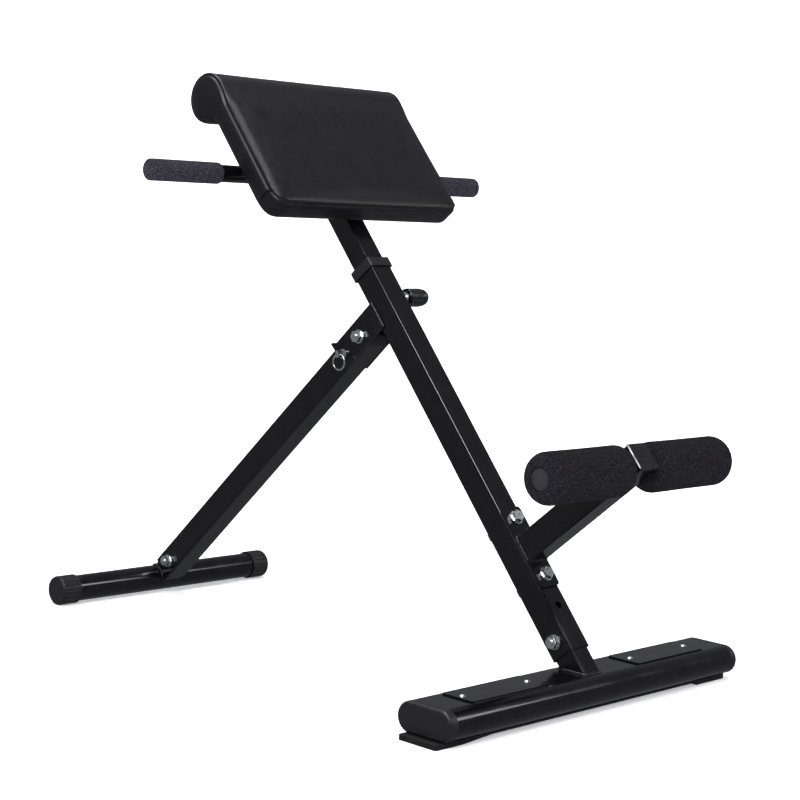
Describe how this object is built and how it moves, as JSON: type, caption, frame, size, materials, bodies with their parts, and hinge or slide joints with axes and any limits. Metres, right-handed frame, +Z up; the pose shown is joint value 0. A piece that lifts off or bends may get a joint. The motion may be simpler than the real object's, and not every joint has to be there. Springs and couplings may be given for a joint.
{
  "type": "roman chair",
  "caption": "Folding back-extension bench with a padded hip rest on a height-adjustable sloping post, handlebar, foam ankle rollers, front strut and rear base with foot plates.",
  "frame": {"origin": "on the floor, under the middle of the whole object's box", "axes": "+X to the rear base with the foot plates, +Y to the side of the pull knob, +Z up"},
  "size_m": [1.0305, 0.682, 0.8525],
  "materials": {
    "black_powder_coat": "gloss powder coat",
    "zinc_plate": "bright zinc plate",
    "black_plastic": "fine-grained moulded plastic",
    "knob_plastic": "smooth moulded plastic",
    "black_rubber": "matt moulded rubber",
    "grip_foam": "fine speckled foam",
    "roller_foam": "open granular foam",
    "plywood": "raw plywood",
    "black_upholstery": "smooth synthetic leather with soft sheen"
  },
  "bodies": {
    "frame": {"base_tube": "black_powder_coat", "base_sole": "black_rubber", "base_end_cap_left": "black_plastic", "base_end_cap_right": "black_plastic", "foot_plate_left": "black_powder_coat", "foot_plate_right": "black_powder_coat", "foot_plate_screws": "zinc_plate", "lower_post": "black_powder_coat", "main_post": "black_powder_coat", "post_collar": "black_plastic", "lower_post_bolt": "zinc_plate", "strut_pivot_bolt": "zinc_plate", "roller_bracket": "black_powder_coat", "roller_bracket_bolts": "zinc_plate", "frame_washers": "zinc_plate", "frame_nuts": "zinc_plate", "roller_arm": "black_powder_coat", "arm_end_plug": "black_plastic", "roller_axle": "zinc_plate", "roller_end_plugs": "black_plastic", "roller_spacers": "black_plastic", "strut_bracket": "black_powder_coat", "pull_pin_housing": "zinc_plate"},
    "seat": {"upper_post": "black_powder_coat", "upper_post_plug": "black_plastic", "handlebar": "black_powder_coat", "handlebar_plugs": "black_plastic", "hand_grip_left": "grip_foam", "hand_grip_right": "grip_foam", "pad_mount_plates": "black_powder_coat", "pad_screws": "zinc_plate", "pad_board": "plywood", "pad_cushion": "black_upholstery"},
    "pull_pin_unit": {"pull_pin": "zinc_plate", "pull_knob": "knob_plastic", "pull_pin_spring": "zinc_plate"},
    "strut": {"front_strut": "black_powder_coat", "strut_spigot": "black_powder_coat", "strut_foot_bolt": "zinc_plate", "strut_foot_washers": "zinc_plate", "strut_foot_nut": "zinc_plate", "front_foot_tube": "black_powder_coat", "front_foot_cap_left": "black_plastic", "front_foot_cap_right": "black_plastic"},
    "lock_pin_unit": {"lock_pin": "zinc_plate"},
    "lock_ring_unit": {"lock_ring": "zinc_plate"},
    "roller_left": {"roller_foam_left": "roller_foam", "roller_sleeve_left": "black_plastic"},
    "roller_right": {"roller_foam_right": "roller_foam", "roller_sleeve_right": "black_plastic"}
  },
  "joints": [
    {"name": "seat_height", "type": "slide", "parent": "frame", "child": "seat", "axis": [-0.6428, 0, 0.766], "range_m": [-0.05, 0.1]},
    {"name": "pull_pin_travel", "type": "slide", "parent": "frame", "child": "pull_pin_unit", "axis": [0, 1, 0], "range_m": [0, 0.008], "stiffness_N_per_m": 600, "springref_m": -0.01, "deforming": ["pull_pin_spring"]},
    {"name": "strut_fold", "type": "hinge", "parent": "frame", "child": "strut", "pos_m": [-0.02272, 0, 0.47174], "axis": [0, -1, 0], "range_deg": [0, 80]},
    {"name": "lock_pin_travel", "type": "slide", "parent": "frame", "child": "lock_pin_unit", "axis": [0, -1, 0], "range_m": [0, 0.025]},
    {"name": "lock_ring_swing", "type": "hinge", "parent": "lock_pin_unit", "child": "lock_ring_unit", "pos_m": [-0.05294, -0.034, 0.44286], "axis": [-1, 0, 0], "range_deg": [-8, 90]},
    {"name": "roller_left_spin", "type": "hinge", "parent": "frame", "child": "roller_left", "pos_m": [0.48025, -0.11, 0.33624], "axis": [0, 1, 0], "continuous": true},
    {"name": "roller_right_spin", "type": "hinge", "parent": "frame", "child": "roller_right", "pos_m": [0.48025, 0.11, 0.33624], "axis": [0, 1, 0], "continuous": true}
  ]
}
